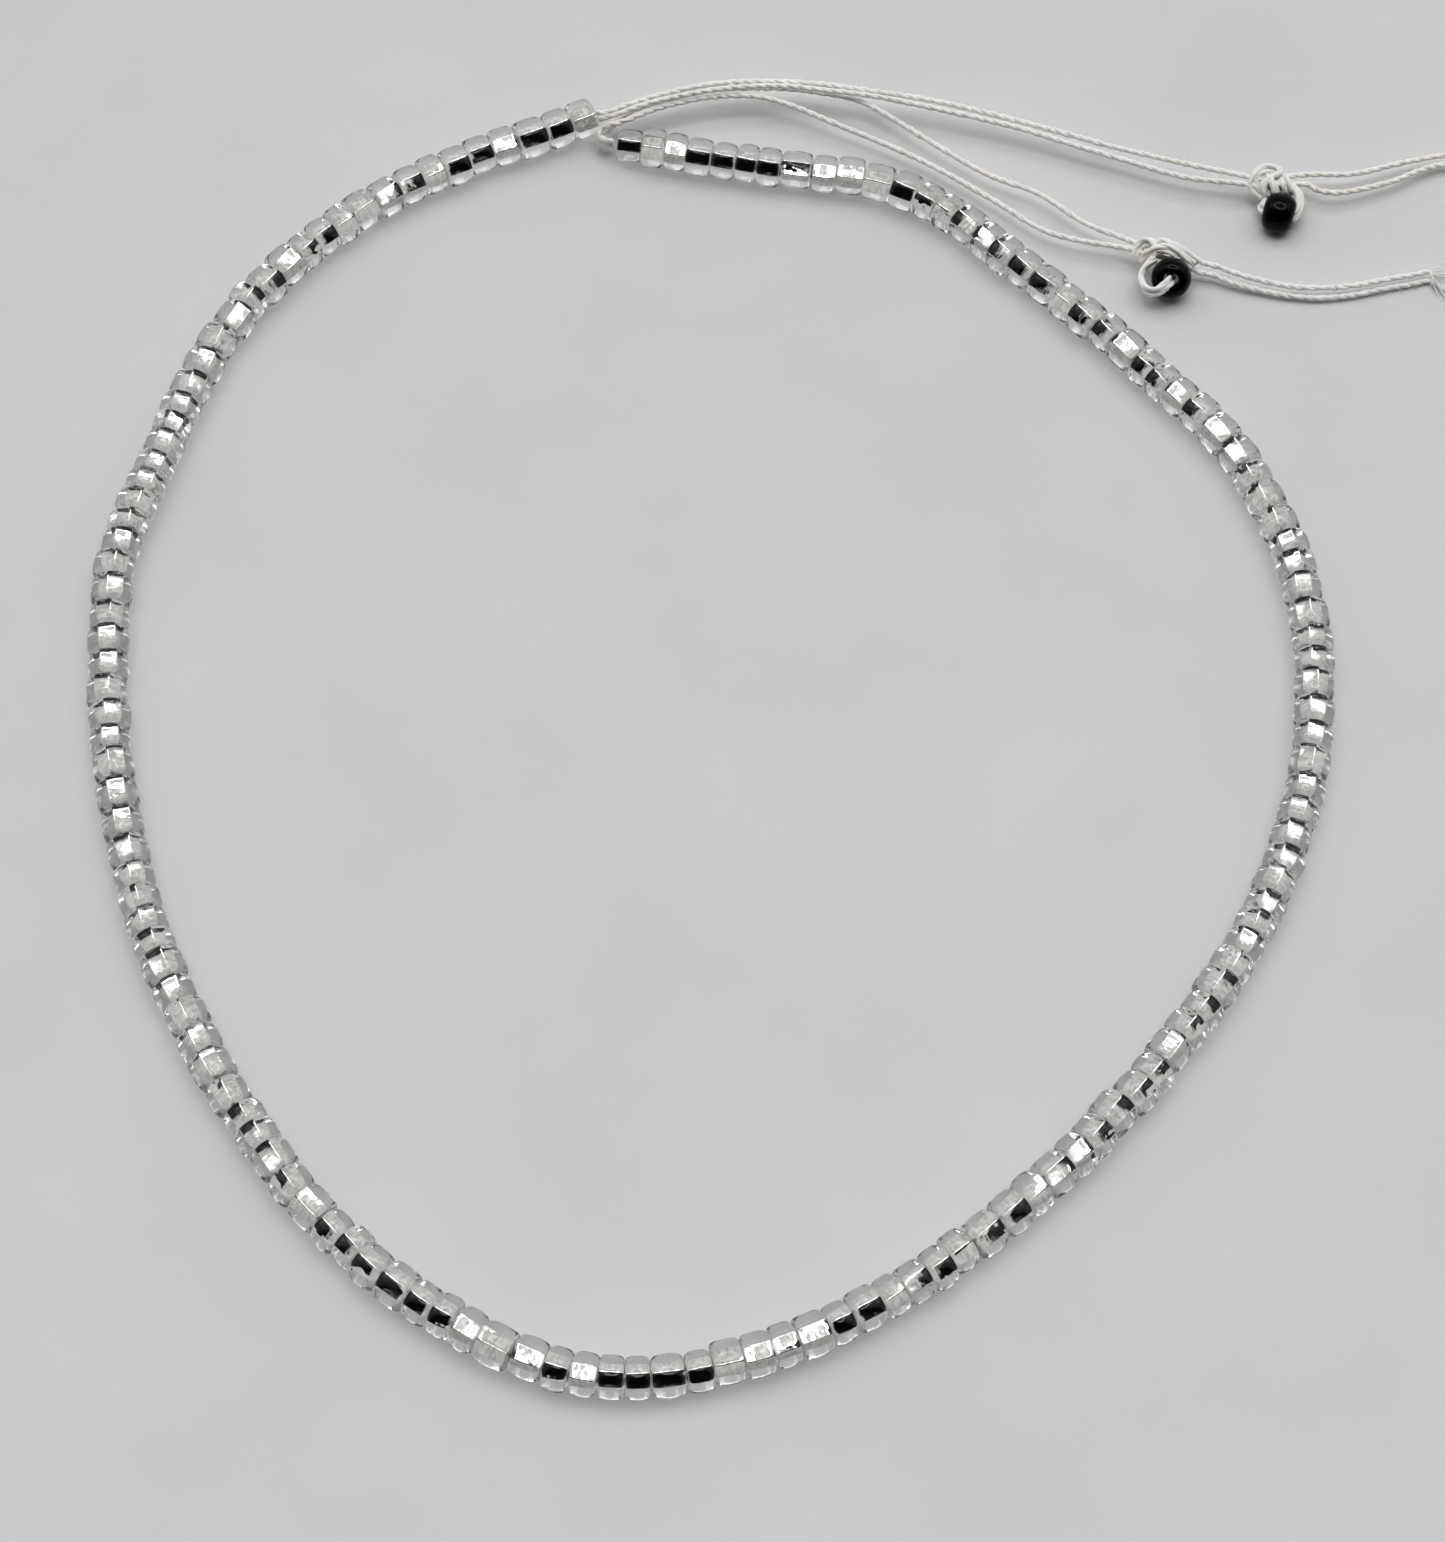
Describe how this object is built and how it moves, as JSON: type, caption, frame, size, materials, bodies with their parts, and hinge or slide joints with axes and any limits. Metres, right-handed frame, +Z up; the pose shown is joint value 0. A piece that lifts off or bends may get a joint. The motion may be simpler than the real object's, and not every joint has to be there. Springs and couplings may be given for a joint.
{
  "type": "beaded anklet",
  "caption": "Open loop of clear silver-lined seed beads on white thread, with two thread ties that each carry a knotted black stopper bead, lying flat.",
  "frame": {"origin": "on the table, under the middle of the bead loop's bounding box", "axes": "+Z up from the table, +Y along the loop's long side towards the gap where the ties leave, +X to the side that the ties run to"},
  "size_m": [0.0898, 0.0969, 0.003],
  "materials": {
    "seed_bead_glass": "clear pressed glass with a silver-lined square bore, glossy",
    "cotton_thread": "twisted two-ply white cotton, matt and slightly fuzzy",
    "stopper_glass": "opaque black glass, glossy"
  },
  "bodies": {
    "root": {"bead_string": "seed_bead_glass", "upper_tie_a": "cotton_thread", "upper_tie_b": "cotton_thread", "lower_tie_a": "cotton_thread", "lower_tie_b": "cotton_thread", "upper_knot": "cotton_thread", "lower_knot": "cotton_thread", "upper_bead_loop": "cotton_thread", "lower_bead_loop": "cotton_thread", "upper_tail_a": "cotton_thread", "upper_tail_b": "cotton_thread", "lower_tail_a": "cotton_thread", "lower_tail_b": "cotton_thread", "upper_stopper_bead": "stopper_glass", "lower_stopper_bead": "stopper_glass"}
  },
  "joints": []
}
